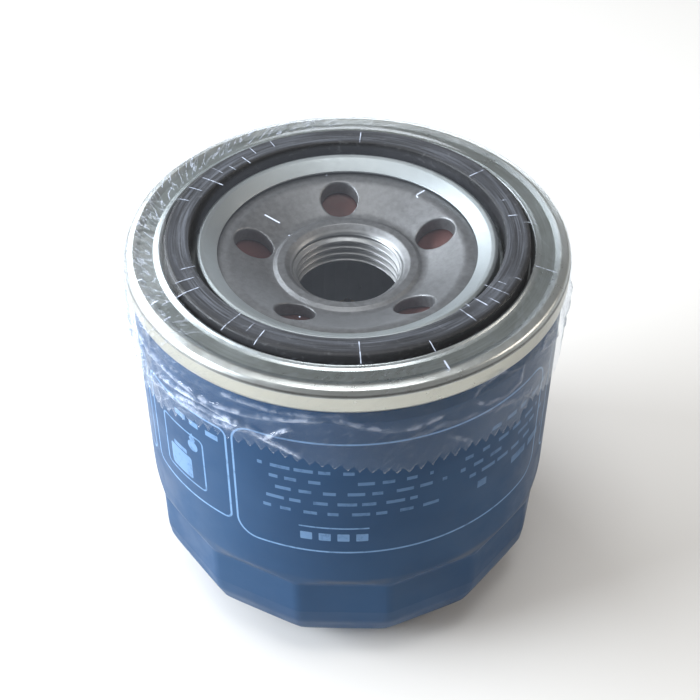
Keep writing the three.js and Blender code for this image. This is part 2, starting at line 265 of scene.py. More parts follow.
# ---------------------------------------------------------------- materials
def mat_paint():
    m, nt, b = material("blue_enamel", (0.018, 0.06, 0.16), 0.4, 0.0, Specular_IOR_Level=0.14)
    tc, x, y, z = coords(nt)
    u = x.op("ARCTAN2", y * -1.0) * CAN_R  # mm along the wall from the front, towards +X

    def box(cu, cv, hu, hv, r=0.0):
        qu, qv = (u - cu).abs() - (hu - r), (z - cv).abs() - (hv - r)
        au, av = qu.max(0.0), qv.max(0.0)
        return (au * au + av * av).sqrt() + qu.max(qv).min(0.0) - r

    def line(d, w):
        return d.abs().ramp(w / 2 - 0.06, w / 2 + 0.06, 1.0, 0.0)

    def fill(d):
        return d.ramp(-0.05, 0.08, 1.0, 0.0)

    # broken bars stand for lines of small print, as on a blank layout
    def dummy(cu, cv, hu, hv, cell, keep, seed):
        g = (u + (400.0 + seed * 1.37)) / cell
        i = g.floor()
        f = g - i
        wn = nt.nodes.new("ShaderNodeTexWhiteNoise")
        wn.noise_dimensions = "1D"
        put(nt, i + seed, wn.inputs["W"])
        rnd = E(nt, wn.outputs["Value"])
        length = rnd * 0.42 + 0.5
        inside = fill(box(cu, cv, hu, hv, 0.1))
        return inside * (f - 0.05).gt(0.0) * (length - f).ramp(0.0, 0.06) * (rnd * 7.31 - (rnd * 7.31).floor()).lt(keep)

    mm = CAN_R * math.pi / 180
    marks = [
        line(box(16 * mm, 47.2, 46 * mm, 13.8, 4.0), 0.40),  # main panel
        line(box(-47.6 * mm, 47.0, 15.6 * mm, 11.3, 1.6), 0.42),  # panel to its left
        line(box(-92 * mm, 47.0, 25 * mm, 12.6, 2.4), 0.40),
        line(box(118 * mm, 47.2, 50 * mm, 13.8, 4.0), 0.40),
        line(box(-153 * mm, 47.2, 31 * mm, 13.8, 4.0), 0.40),
        fill(box(-3.5 * mm, 39.85, 9.1 * mm, 0.16)),  # rule over the panel's foot line
        *[fill(box(c, 37.4, 1.05, 0.95, 0.15)) * 0.85 for c in (-7.3, -4.0, -0.7, 2.6)],
    ]
    for k, (v, a, c) in enumerate([(43.6, -22, 24), (46.2, -24, 18), (48.8, -25, 26), (51.4, -20, 22), (54.0, -23, 12)]):
        marks.append(dummy((a + c) / 2 * mm, v, (c - a) / 2 * mm, 0.38, 4.2, 0.9, 11.0 * k + 5) * 0.55)
    for k, (v, a, c, h) in enumerate([(43.0, 36, 66, 0.9), (46.4, 33, 58, 0.42), (49.0, 30, 64, 0.42), (51.6, 30, 60, 0.42), (55.6, 33, 64, 0.5)]):
        marks.append(dummy((a + c) / 2 * mm, v, (c - a) / 2 * mm, h, 5.6 if h > 0.6 else 3.8, 0.92, 7.0 * k + 60) * 0.5)
    marks.append(dummy(-43 * mm, 55.2, 8.5 * mm, 0.6, 4.0, 0.95, 31.0) * 0.85)
    for k, v in enumerate((38, 41.5, 45, 48.5, 52, 55.5)):
        marks.append(dummy(-80 * mm, v, 9 * mm, 0.4, 3.3, 0.9, 3.0 * k + 90) * 0.7)
        marks.append(dummy(118 * mm, v, 44 * mm, 0.5, 4.4, 0.9, 5.0 * k + 140) * 0.6)
        marks.append(dummy(-153 * mm, v, 25 * mm, 0.5, 4.4, 0.9, 9.0 * k + 190) * 0.6)
    # a generic picture: a can with a cap and a drop over it, inside a small frame
    pc = -48.5 * mm
    drop_r = ((u - pc - 3.0) * (u - pc - 3.0) + (z - 49.2) * (z - 49.2)).sqrt() - 1.25
    tip = ((u - pc - 3.0).abs() * 1.9 + (z - 50.9).abs()) - 1.55
    marks += [
        line(box(pc, 45.4, 5.6, 6.4, 1.0), 0.36) * 0.9,
        fill(box(pc - 0.9, 42.6, 3.1, 2.7, 0.6)) * 0.8,
        fill(box(pc - 0.9, 46.1, 1.9, 0.5, 0.2)) * 0.8,
        fill(drop_r.min(tip)) * 0.85,
    ]
    ink = marks[0]
    for k in marks[1:]:
        ink = ink.max(k)
    worn = tex(nt, tc, 420, 5, 0.7).ramp(0.3, 0.52, 0.45, 1.0)
    ink = ink * worn * 0.8
    mottled = tex(nt, tc, 60, 3).ramp(0.3, 0.7, 0.0, 1.0)
    base = mix_color(nt, mottled, (0.016, 0.053, 0.126), (0.021, 0.064, 0.146))
    # painted highlight: a gold line along the crease where the flats start, broken up by noise
    edge = (z - FLAT_TOP - 0.5).abs().ramp(0.2, 1.3, 1.0, 0.0) * tex(nt, tc, 90, 4).ramp(0.4, 0.6, 0.15, 0.75)
    base = mix_color(nt, edge * 0.4, base, (0.16, 0.15, 0.13))
    put(nt, mix_color(nt, ink, base, (0.19, 0.34, 0.58)), b.inputs["Base Color"])
    put(nt, tex(nt, tc, 130, 4).ramp(0.3, 0.7, 0.32, 0.46), b.inputs["Roughness"])
    bump(nt, b, tex(nt, tc, 300, 3, 0.6), 0.12, 0.05)
    return m


def mat_zinc(name="zinc_sheet", color=(0.56, 0.60, 0.615), rough=(0.26, 0.4), metal=1.0, lid=False):
    m, nt, b = material(name, color, 0.28, metal)
    tc, x, y, z = coords(nt)
    spangle = tex(nt, tc, 210, 0, kind="ShaderNodeTexVoronoi")
    fine = tex(nt, tc, 900, 4, 0.6)
    cloud = tex(nt, tc, 70, 4, 0.6)
    tint = mix_color(nt, cloud.ramp(0.35, 0.7), tuple(c * 0.86 for c in color), color)
    height = spangle * 0.3 + fine
    if lid:
        r = (x * x + y * y).sqrt()
        v = nt.nodes.new("ShaderNodeCombineXYZ")
        put(nt, x / r * 3.0, v.inputs[0])
        put(nt, y / r * 3.0, v.inputs[1])
        put(nt, r * 6.0, v.inputs[2])
        spin = nt.nodes.new("ShaderNodeTexNoise")
        spin.inputs["Scale"].default_value = 1.0
        spin.inputs["Detail"].default_value = 3.0
        put(nt, v.outputs[0], spin.inputs["Vector"])
        spun = E(nt, spin.outputs[0])  # fine marks left by spinning, along the rim
        # painted shade: the trough between the ridge and the bead is darker, streaked by the spinning marks
        trough = r.ramp(34.0, 34.6) * r.ramp(36.4, 37.6, 1.0, 0.0)
        tint = mix_color(nt, trough * (spun.ramp(0.3, 0.7) * 0.5 + 0.35), tint, (0.36, 0.40, 0.385))
        # painted highlight: the bead top is lighter
        tint = mix_color(nt, r.ramp(37.4, 38.0) * 0.8, tint, (0.63, 0.645, 0.625))
        tint = mix_color(nt, z.ramp(72.0, 72.4, 1.0, 0.0) * r.ramp(38.8, 39.3), tint, (0.55, 0.53, 0.455))
        # painted shade: a dark line round the seam's outer wall, where no groove is modelled
        tint = mix_color(nt, (z - 72.5).abs().ramp(0.1, 0.42, 0.8, 0.0) * r.ramp(38.9, 39.3), tint, (0.13, 0.125, 0.115))
        tint = mix_color(nt, r.ramp(27.0, 28.0, 0.8, 0.0), tint, (0.40, 0.43, 0.44))
        height = height * 0.5 + spun * 1.2
    put(nt, tint, b.inputs["Base Color"])
    ro = (cloud * 0.5 + fine * 0.5).ramp(0.3, 0.7, *rough)
    if lid:
        ro = ro + r.ramp(27.0, 28.0, 0.17, 0.0)
    put(nt, ro, b.inputs["Roughness"])
    bump(nt, b, height, 0.16, 0.03)
    return m


def mat_plate():
    m, nt, b = material("plate_steel", (0.42, 0.43, 0.45), 0.52, 0.9)
    tc, x, y, z = coords(nt)
    speck = tex(nt, tc, 1500, 3, 0.7)
    grain = tex(nt, tc, 1000, 4, 0.7)
    cloud = tex(nt, tc, 55, 4, 0.6, w=3.0)
    c1 = mix_color(nt, grain.ramp(0.3, 0.7), (0.19, 0.192, 0.196), (0.25, 0.252, 0.258))
    c2 = mix_color(nt, speck.ramp(0.6, 0.72) * 0.5, c1, (0.16, 0.16, 0.17))
    r = (x * x + y * y).sqrt()
    # darker oil film in the dish, brighter cut metal in the thread
    c3 = mix_color(nt, cloud.ramp(0.35, 0.7) * r.ramp(12.8, 13.6) * 0.10, c2, (0.25, 0.255, 0.27))
    bore = r.ramp(10.25, 10.6, 1.0, 0.0)
    c4 = mix_color(nt, bore * 0.7, c3, (0.36, 0.365, 0.37))
    put(nt, c4, b.inputs["Base Color"])
    rough = (grain * 0.8 + cloud * 0.2).ramp(0.3, 0.7, 0.42, 0.54)
    put(nt, rough - bore * 0.08, b.inputs["Roughness"])
    bump(nt, b, speck * 0.9 + grain * 0.8, 0.3, 0.035)
    return m


def mat_rubber(name, c0, c1, rough=(0.42, 0.66), dust=0.0, sheen=0.0):
    m, nt, b = material(name, c0, 0.5, 0.0, Specular_IOR_Level=0.45, Sheen_Weight=sheen)
    tc, x, y, z = coords(nt)
    fine = tex(nt, tc, 800, 4, 0.65)
    cloud = tex(nt, tc, 90, 4, 0.6, w=5.0)
    c = mix_color(nt, cloud.ramp(0.35, 0.65), c0, c1)
    if dust:
        c = mix_color(nt, fine.ramp(0.56, 0.74) * dust, c, (0.42, 0.42, 0.44))
    put(nt, c, b.inputs["Base Color"])
    put(nt, (fine * 0.5 + cloud * 0.5).ramp(0.35, 0.65, *rough), b.inputs["Roughness"])
    bump(nt, b, fine, 0.2, 0.04)
    return m


def mat_paper():
    m, nt, b = material("filter_paper", (0.72, 0.6, 0.38), 0.92)
    tc, x, y, z = coords(nt)
    fibre = tex(nt, tc, 600, 6, 0.75, squash=(1, 1, 0.35))
    put(nt, mix_color(nt, fibre.ramp(0.3, 0.7), (0.6, 0.47, 0.27), (0.82, 0.7, 0.47)), b.inputs["Base Color"])
    put(nt, fibre.ramp(0.3, 0.7, 0.85, 0.98), b.inputs["Roughness"])
    bump(nt, b, fibre, 0.4, 0.08)
    return m


def mat_adhesive():
    m, nt, b = material("cured_adhesive", (0.36, 0.17, 0.06), 0.45)
    tc, x, y, z = coords(nt)
    n = tex(nt, tc, 160, 4, 0.6)
    put(nt, mix_color(nt, n.ramp(0.3, 0.7), (0.26, 0.11, 0.04), (0.42, 0.22, 0.08)), b.inputs["Base Color"])
    put(nt, n.ramp(0.3, 0.7, 0.35, 0.6), b.inputs["Roughness"])
    bump(nt, b, n, 0.3, 0.15)
    return m


# Creases pressed into the film: angle from +X in degrees, inner and outer radius, width in degrees; the film material
# also paints a white glint along each
CREASES = [
    (-150.2, 36.4, 38.2, 1.1), (-148.0, 35.2, 36.8, 0.8), (-142.8, 36.6, 38.4, 1.2), (-160.5, 37.0, 38.6, 0.6), (-64.9, 36.2, 39.3, 0.9),
    (-65.6, 31.8, 34.6, 0.35), (-89.9, 38.0, 39.4, 0.5), (-123.0, 38.0, 39.3, 0.7), (-116.2, 38.2, 39.4, 0.6),
    (-86.4, 29.2, 34.4, 0.50), (85.2, 27.6, 31.6, 0.46), (-33.0, 27.5, 32.6, 0.42), (-41.2, 27.8, 31.2, 0.55),
    (-48.9, 27.9, 32.4, 0.60), (-45.5, 27.8, 29.2, 0.45), (-128.2, 28.4, 33.6, 0.42), (-121.6, 29.0, 31.8, 0.34),
    (-116.9, 29.6, 33.6, 0.38), (-147.9, 29.4, 35.4, 0.40), (-159.0, 27.8, 31.0, 0.36), (149.2, 26.6, 31.6, 0.62),
    (131.4, 27.5, 30.6, 0.50), (138.4, 27.8, 30.0, 0.42), (36.0, 27.8, 31.9, 0.42), (17.6, 29.4, 30.6, 0.60),
    (8.4, 28.9, 31.2, 0.46), (4.3, 31.4, 34.2, 0.42), (-24.7, 31.2, 32.8, 0.40), (-16.4, 33.6, 38.0, 0.34),
    (-153.4, 29.0, 33.0, 0.30), (156.0, 29.0, 32.5, 0.34), (163.0, 30.0, 33.0, 0.30), (143.0, 29.0, 32.0, 0.30),
    (126.0, 29.4, 32.2, 0.28), (118.0, 29.6, 32.0, 0.26), (-38.0, 29.6, 32.4, 0.28), (-29.0, 29.0, 31.0, 0.24),
]
# Short creases near the middle, painted white as glints: x, y of both ends
NICKS = [(-15.0, 4.9, -12.0, 2.3), (14.3, 12.3, 12.6, 10.8), (12.6, 10.8, 12.9, 9.8)]


def mat_film():
    m = bpy.data.materials.new("clear_shrink_film")
    m.use_nodes = True
    nt = m.node_tree
    nt.nodes.clear()
    out = nt.nodes.new("ShaderNodeOutputMaterial")
    clear = nt.nodes.new("ShaderNodeBsdfTransparent")
    clear.inputs[0].default_value = (0.975, 0.985, 0.995, 1)
    gloss = nt.nodes.new("ShaderNodeBsdfGlossy")
    gloss.inputs["Color"].default_value = (0.96, 0.98, 1.0, 1)
    gloss.inputs["Roughness"].default_value = 0.1
    # white diffuse used for dust, scuffs and the painted glints and sheen
    white = nt.nodes.new("ShaderNodeBsdfDiffuse")
    white.inputs["Color"].default_value = (0.70, 0.78, 0.95, 1)
    lw = nt.nodes.new("ShaderNodeLayerWeight")
    lw.inputs["Blend"].default_value = 0.5
    facing = E(nt, lw.outputs["Facing"])
    reflect = facing.op("POWER", 5.0) * 0.4 + 0.014  # the same on both faces of the sheet
    tc, x, y, z = coords(nt)
    r = (x * x + y * y).sqrt()
    th = y.op("ARCTAN2", x) * (180 / math.pi)
    # scuffs: fine radial and running scratches where the film is stretched over rim and gasket; over the gasket they
    # also carry a painted sheen
    def rings(along, across, detail, seed):
        v = nt.nodes.new("ShaderNodeCombineXYZ")
        put(nt, x / r * along + seed, v.inputs[0])
        put(nt, y / r * along, v.inputs[1])
        put(nt, r * across, v.inputs[2])
        n = nt.nodes.new("ShaderNodeTexNoise")
        n.inputs["Scale"].default_value = 1.0
        n.inputs["Detail"].default_value = detail
        n.inputs["Roughness"].default_value = 0.6
        put(nt, v.outputs[0], n.inputs["Vector"])
        return E(nt, n.outputs[0])

    scr1 = rings(2.5, 4.5, 3, 0.0)
    scr2 = tex(nt, tc, 260, 5, 0.7, w=9.0)
    cloudy = rings(2.2, 0.5, 2, 4.0)
    over = r.ramp(28.0, 28.7) * r.ramp(31.0, 32.2, 1.0, 0.0)
    outer = r.ramp(33.4, 34.4)
    # hair-thin slanting creases over the rim: level lines of a stretched noise; besides their bump they are painted
    # white as glints
    lean = x.op("ARCTAN2", y * -1.0) * CAN_R
    vv = nt.nodes.new("ShaderNodeCombineXYZ")
    put(nt, lean * 0.55 + (r - z) * 0.6, vv.inputs[0])
    put(nt, (r - z) * 0.16 - lean * 0.02, vv.inputs[1])
    put(nt, z * 0.05, vv.inputs[2])
    hn = nt.nodes.new("ShaderNodeTexNoise")
    hn.inputs["Scale"].default_value = 1.0
    hn.inputs["Detail"].default_value = 3.0
    put(nt, vv.outputs[0], hn.inputs["Vector"])
    hair = (E(nt, hn.outputs[0]) - 0.5).abs().ramp(0.0, 0.022, 1.0, 0.0)
    lit_far_left = (x * -0.88 + y * 0.48).ramp(2.0, 30.0)
    # painted sheen: a bluish white over the gasket, broken up by the scuff noise, stands in for the film's reflection
    # where it lies on the gasket
    scuffs_dust_and_painted_glints = scr1.ramp(0.36, 0.72) * cloudy.ramp(0.34, 0.6, 0.45, 1.0) * over * 0.07 + over * 0.006 + r.ramp(26.0, 27.5, 0.014, 0.002)
    # painted glints along the hair creases, strongest on the far left, where the light falls
    scuffs_dust_and_painted_glints = scuffs_dust_and_painted_glints + outer * hair * (lit_far_left * 0.22 + 0.03)
    # painted glints: white along each crease and nick, broken up by noise, on the top of the film only
    marks = None
    for a, r0, r1, w in CREASES:
        d = ((th - a).abs() * (r * (math.pi / 180))).ramp(0.02, w * 0.27, 1.0, 0.0)
        k = d * r.ramp(r0, r0 + 0.5) * r.ramp(r1 - 0.6, r1, 1.0, 0.0)
        marks = k if marks is None else marks.max(k)
    broken = tex(nt, tc, 900, 3, 0.6, w=2.0).ramp(0.38, 0.6, 0.25, 1.0)
    marks = marks * broken * 0.7
    for x0, y0, x1, y1 in NICKS:
        L = math.hypot(x1 - x0, y1 - y0)
        ux, uy = (x1 - x0) / L, (y1 - y0) / L
        along = (x - (x0 + x1) / 2) * ux + (y - (y0 + y1) / 2) * uy
        off = ((x - (x0 + x1) / 2) * -uy + (y - (y0 + y1) / 2) * ux).abs()
        marks = marks.max(off.ramp(0.07, 0.2, 1.0, 0.0) * along.abs().ramp(L / 2 - 0.3, L / 2, 1.0, 0.0) * 0.85)
    # dust on the film
    vor = nt.nodes.new("ShaderNodeTexVoronoi")
    vor.inputs["Scale"].default_value = 300
    put(nt, tc.outputs["Object"], vor.inputs["Vector"])
    dust = E(nt, vor.outputs["Distance"]).ramp(0.03, 0.06, 1.0, 0.0) * tex(nt, tc, 150, 1, 0.5, w=4.0).ramp(0.6, 0.64)
    top = z.gt(74.0)
    # painted glints along the skirt folds, patchy, from the attribute set by the film piece
    at = nt.nodes.new("ShaderNodeAttribute")
    at.attribute_name = "painted_fold_glint"
    fold_glint = E(nt, at.outputs["Fac"])
    patchy = tex(nt, tc, 420, 4, 0.7, w=6.0).ramp(0.42, 0.62)
    scuffs_dust_and_painted_glints = scuffs_dust_and_painted_glints + fold_glint * (patchy * 0.75 + 0.12) * 0.75
    scuffs_dust_and_painted_glints = (scuffs_dust_and_painted_glints + (marks + dust * 0.6) * top).min(0.95)
    m1 = nt.nodes.new("ShaderNodeMixShader")
    put(nt, reflect.min(0.8), m1.inputs[0])
    nt.links.new(clear.outputs[0], m1.inputs[1])
    nt.links.new(gloss.outputs[0], m1.inputs[2])
    m2 = nt.nodes.new("ShaderNodeMixShader")
    put(nt, scuffs_dust_and_painted_glints, m2.inputs[0])
    nt.links.new(m1.outputs[0], m2.inputs[1])
    nt.links.new(white.outputs[0], m2.inputs[2])
    nt.links.new(m2.outputs[0], out.inputs[0])
    bp = nt.nodes.new("ShaderNodeBump")
    bp.inputs["Strength"].default_value = 0.15
    bp.inputs["Distance"].default_value = 0.03 * MM
    put(nt, scr2 * 0.3 + hair * outer, bp.inputs["Height"])
    nt.links.new(bp.outputs[0], gloss.inputs["Normal"])
    return m


PAINT, ZINC, PLATE = mat_paint(), mat_zinc(lid=True), mat_plate()
GASKET = mat_rubber("nitrile_rubber", (0.012, 0.012, 0.014), (0.022, 0.022, 0.026), dust=0.12)
SILICONE = mat_rubber("red_brown_silicone", (0.060, 0.0165, 0.013), (0.095, 0.026, 0.020), (0.4, 0.6), sheen=0.1)
CAPSTEEL = mat_zinc("stamped_steel", (0.5, 0.52, 0.54), (0.25, 0.45))
SPRING = mat_zinc("spring_wire", (0.36, 0.38, 0.4), (0.2, 0.34))
PAPER, GLUE = mat_paper(), mat_adhesive()
FILM = mat_film()


# ---------------------------------------------------------------- can
def can_piece():
    outer = fillet(
        [(0, 0), (22, 0, 6), (28.5, 0.7, 8), (33.4, 2.8, 6), (37.0, 6.7, 6), (38.6, 11.0, 6), (CAN_R, 14.5, 5),
         (CAN_R, 65.9, 1.2), (NECK_R, 67.8, 1.0), (NECK_R, 71.75, 0.2), (38.7, 71.75, 0.2), (38.7, 69.5, 0.1),
         (39.05, 69.5, 0.1), (39.05, 71.95, 0.3), (38.6, 72.5, 0.3), (38.0, 72.55, 0.3), (NECK_R - CAN_T, 72.2, 0.3),
         (NECK_R - CAN_T, 67.6, 1.0), (CAN_R - CAN_T, 65.7, 1.2), (CAN_R - CAN_T, 14.6, 5), (36.5, 6.9, 6),
         (33.1, 3.2, 6), (28.4, 1.2, 8), (22, CAN_T, 6), (0, CAN_T)], closed=False, steps=4)
    prof = []
    for i in range(len(outer) - 1):
        a, b = np.array(outer[i]), np.array(outer[i + 1])
        step = 0.45 if (min(a[1], b[1]) < 14.6 and max(a[0], b[0]) > 20) else 3.0
        if abs(a[0] - b[0]) < 1e-6 and a[1] != b[1] and min(a[1], b[1]) <= 26 and max(a[1], b[1]) > 30:
            zs = sorted({a[1], b[1], *np.arange(15.5, 21.6, 1.0), *np.arange(21.8, 26.4, 0.23), *np.arange(28, 64, 6.0)}, reverse=bool(a[1] > b[1]))
            zs = [q for q in zs if min(a[1], b[1]) <= q <= max(a[1], b[1])]
            prof += [(a[0], q) for q in zs[:-1]]
            continue
        k = max(1, int(np.ceil(np.linalg.norm(b - a) / step)))
        prof += [tuple(a + (b - a) * j / k) for j in range(k)]
    prof.append(outer[-1])
    top_j = max(range(len(prof)), key=lambda j: prof[j][1])

    def shape(r, z, th, j):
        a = (th - math.radians(FLAT_DEG)) / (2 * math.pi / FLATS)
        a = (a - np.round(a)) * (2 * math.pi / FLATS)
        inner = np.where(j > top_j, CAN_T, 0.0)
        ap = APOTHEM - inner + 1.35 * smoothstep(FLAT_TOP - 1.5, FLAT_TOP + 1.9, z)
        # the flats follow the wall down round the base radius and die out under it
        ap = np.where(z < 14.4, ap * r / (CAN_R - inner), ap) + 1.6 * smoothstep(4.6, 1.6, z)
        flat = ap / np.cos(a)
        k = 0.10 + 0.12 * smoothstep(14.0, 9.0, z)  # the corners soften towards the base
        soft = -k * np.logaddexp(-r / k, -flat / k)
        use = (z < 26.5) & (r > 29)
        return np.where(use, np.minimum(r, soft), r), z

    v, f = turn(prof, FLATS * 18, FLAT_DEG, shape, closed=False)
    return make("painted_can", v, f, "can", "can_shell", sharp=30, mat=PAINT)


can = can_piece()

# ---------------------------------------------------------------- lid and gasket
lid_prof = fillet(
    [(23.3, 71.45, 0.15), (25.6, 73.05, 0.8), (26.3, 73.25, 0.35), (26.9, 72.95, 0.35), (27.1, 70.1, 0.4),
     (33.1, 70.0, 0.4), (33.12, 73.5, 0.25), (33.5, 73.85, 0.25), (33.95, 73.5, 0.3), (34.5, 73.25, 0.6), (36.8, 73.3, 0.5), (38.0, 73.8, 0.7),
     (39.2, 73.45, 0.8), (39.7, 72.4, 0.8), (39.7, 69.4, 0.8), (39.2, 68.7, 0.3), (38.5, 68.7, 0.2),
     (38.22, 69.0, 0.15), (38.22, 71.6, 0.12), (38.58, 71.6, 0.12), (38.58, 69.35, 0.1), (39.17, 69.35, 0.1),
     (39.17, 72.2, 0.4), (38.75, 72.95, 0.3), (37.7, 73.05, 0.3), (37.0, 72.8, 0.3), (33.8, 72.8, 0.3),
     (33.7, 69.45, 0.4), (26.6, 69.4, 0.4), (26.35, 72.4, 0.2), (25.8, 72.4, 0.4), (23.55, 70.95, 0.15)], steps=6)


def dented(r, z, th, j):
    # the rolled seam is never quite even
    k = smoothstep(37.0, 39.0, r) * (0.035 * np.sin(th * 9 + 1.0) + 0.025 * np.sin(th * 23 + 0.4) + 0.02 * np.sin(th * 41))
    return r + k * 0.5, z + k * 0.6


v, f = turn(lid_prof, 288, 0, dented)
lid = make("zinc_lid", v, f, "can", "seaming_lid", sharp=45, mat=ZINC)

v, f = turn(fillet([(28.1, 70.3, 0.3), (32.5, 70.3, 0.3), (32.5, 74.8, 0.5), (31.9, 75.0, 0.6), (30.5, 74.86, 2),
                    (28.7, 75.0, 0.6), (28.1, 74.8, 0.5)], steps=5), 192)
gasket = make("gasket", v, f, "can", "sealing_gasket", sharp=50, mat=GASKET)

v, f = turn(fillet([(12.8, 61.2, 0.2), (14.6, 61.2, 0.3), (15.0, 63.3, 0.6), (16.2, 64.3, 0.8), (22.3, 66.9, 0.8),
                    (23.4, 67.4, 0.3), (23.1, 67.9, 0.3), (21.4, 67.6, 1.0), (15.5, 65.2, 1.2), (13.5, 65.0, 0.4),
                    (12.8, 64.4, 0.3)], steps=5), 144)
valve = make("drain_valve", v, f, "can", "anti_drain_valve", sharp=50, mat=SILICONE)


# ---------------------------------------------------------------- sheets with holes
def holed(points, loops, keep):
    """Triangles of a flat domain: points, plus closed loops whose edges are kept."""
    pts = [Vector(p) for p in points]
    edges = []
    for lp in loops:
        s = len(pts)
        pts += [Vector(p) for p in lp]
        edges += [(s + i, s + (i + 1) % len(lp)) for i in range(len(lp))]
    vs, _, fs, *_ = geometry.delaunay_2d_cdt(pts, edges, [], 0, 1e-6)
    vs = np.array([tuple(q) for q in vs])
    fs = np.array([list(q) for q in fs])
    mid = vs[fs].mean(1)
    return vs, fs[keep(mid)]


def plate_piece():
    n = 240
    top = fillet([(33.6, 69.1), (25.6, 69.1, 0.6), (24.7, PLATE_TOP, 0.6), (21.2, PLATE_TOP, 2.2), (14.6, 67.8, 1.0),
                  (13.5, 67.62, 0.5), (12.75, BOSS_Z, 0.45), (11.3, BOSS_Z, 0.6), (10.2, 67.1)], closed=False, steps=8)
    low = fillet([(33.6, 66.6), (25.2, 66.6, 0.6), (24.1, 68.2, 0.6), (21.4, 68.2, 2.0), (15.5, 65.55, 1.0),
                  (13.3, 65.3)], closed=False, steps=8)
    tr, tz = np.array(top)[::-1].T
    lr, lz = np.array(low)[::-1].T
    r0, r1 = 13.55, 21.9
    e = 0.32
    holes = np.array(INLETS)

    def hole_dist(p):
        return np.min([np.hypot(p[:, 0] - hx, p[:, 1] - hy) for hx, hy in holes], 0) - INLET_R

    pts = []
    for k, r in enumerate(np.arange(r0 + 0.42, r1 - 0.2, 0.42)):
        m = int(2 * math.pi * r / 0.55)
        a = (np.arange(m) + 0.5 * (k % 2)) * 2 * math.pi / m
        pts.append(np.stack([r * np.cos(a), r * np.sin(a)], -1))
    pts = np.concatenate(pts)
    pts = pts[hole_dist(pts) > 0.75]
    m = 72
    a = np.arange(m) * 2 * math.pi / m
    rings = []
    for hx, hy in holes:
        for d in (0.04, 0.11, 0.2, 0.32, 0.55):
            q = np.stack([hx + (INLET_R + d) * np.cos(a), hy + (INLET_R + d) * np.sin(a)], -1)
            rr = np.hypot(q[:, 0], q[:, 1])
            rings.append(q[(rr > r0 + 0.15) & (rr < r1 - 0.15)])
    pts = np.concatenate([pts] + rings)
    th = np.arange(n) * 2 * math.pi / n
    circ = lambda r: np.stack([r * np.sin(th), -r * np.cos(th)], -1)
    loops = [circ(r0), circ(r1)] + [np.stack([hx + INLET_R * np.cos(a), hy + INLET_R * np.sin(a)], -1) for hx, hy in holes]

    def keep(mid):
        r = np.hypot(mid[:, 0], mid[:, 1])
        return (hole_dist(mid) > -1e-4) & (r > r0 * math.cos(math.pi / n) - 1e-6) & (r < r1)

    vs, fs = holed(pts.tolist(), [q.tolist() for q in loops], keep)
    r = np.hypot(vs[:, 0], vs[:, 1])
    d = np.clip(hole_dist(vs), 0, None)
    drop = np.where(d < e, e * (1 - np.sqrt(np.clip(1 - (1 - d / e) ** 2, 0, 1))), 0)
    ztop = np.interp(r, tr, tz) - drop
    zlow = np.interp(r, lr, lz)
    V = [np.c_[vs, ztop], np.c_[vs, zlow]]
    F = [fs, fs[:, ::-1] + len(vs)]
    base = 2 * len(vs)
    faces = [tuple(q) for q in np.concatenate(F)]
    for hx, hy in holes:
        q = np.stack([hx + INLET_R * np.cos(a), hy + INLET_R * np.sin(a)], -1)
        rr = np.hypot(q[:, 0], q[:, 1])
        za, zb = np.interp(rr, tr, tz) - e, np.interp(rr, lr, lz)
        for s in range(5):
            V.append(np.c_[q, za + (zb - za) * s / 4])
        for s in range(4):
            for i in range(m):
                j = (i + 1) % m
                faces.append((base + s * m + i, base + s * m + j, base + (s + 1) * m + j, base + (s + 1) * m + i))
        base += 5 * m
    # turned parts: everything outside and inside the dished ring
    rim = [q for q in zip(tr, tz) if q[0] > r1][::-1]
    rim += [(r1, float(np.interp(r1, tr, tz)))]
    under = [(r1, float(np.interp(r1, lr, lz)))] + [q for q in zip(lr, lz) if q[0] > r1]
    chain = under + rim  # from the underside out and back over the top
    v1, f1 = turn(chain, n, 0, closed=False)
    V.append(v1)
    faces += [tuple(base + k for k in q) for q in f1]
    base += len(v1)
    # boss, threaded bore and collar
    pitch, z0, z1 = 1.5, 60.7, 66.9
    per = 16
    ph = np.arange(per) / per
    inner_top = [(r0, float(np.interp(r0, tr, tz)))] + [q for q in zip(tr, tz) if q[0] < r0][::-1]
    inner_low = [(10.3, 60.3), (12.1, 60.3), (12.35, 60.38), (12.5, 60.6), (12.5, 64.4), (12.6, 64.8), (12.9, 65.15), (13.3, 65.3),
                 (r0, float(np.interp(r0, lr, lz)))]
    kk = []
    for q in range(math.ceil(z1 / pitch) + 1, math.floor(z0 / pitch) - 2, -1):
        kk += [q + s for s in ph[::-1]]
    chain = inner_top + [(9.19, q) for q in kk] + inner_low
    a0, a1 = len(inner_top), len(inner_top) + len(kk)

    def thread(r, z, th, j):
        turn_ = th / (2 * math.pi)
        at = np.clip((z + turn_) * pitch, z0, z1)
        fr = at / pitch - turn_ + 1e-9
        fr = fr - np.floor(fr)
        w = np.abs(fr - 0.06)  # 0 at the crest
        w = np.minimum(w, 1 - w) * 2
        rad = 9.19 + 0.83 * np.clip((w - 0.12) / 0.72, 0, 1)
        lead = smoothstep(z1 - 0.9, z1, at)
        rad = rad * (1 - lead) + np.maximum(rad, 9.98) * lead
        inside = (j >= a0) & (j < a1)
        return np.where(inside, rad, r), np.where(inside, at, z)

    v2, f2 = turn(chain, n, 0, thread, closed=False)
    # the last column of thread rows runs on one pitch up, so join it to the first by height
    mcount = len(chain)
    f2 = [q for k, q in enumerate(f2) if not (k // (mcount - 1) == n - 1 and a0 - 1 <= k % (mcount - 1) < a1)]
    V.append(v2)
    faces += [tuple(base + k for k in q) for q in f2]
    base += len(v2)
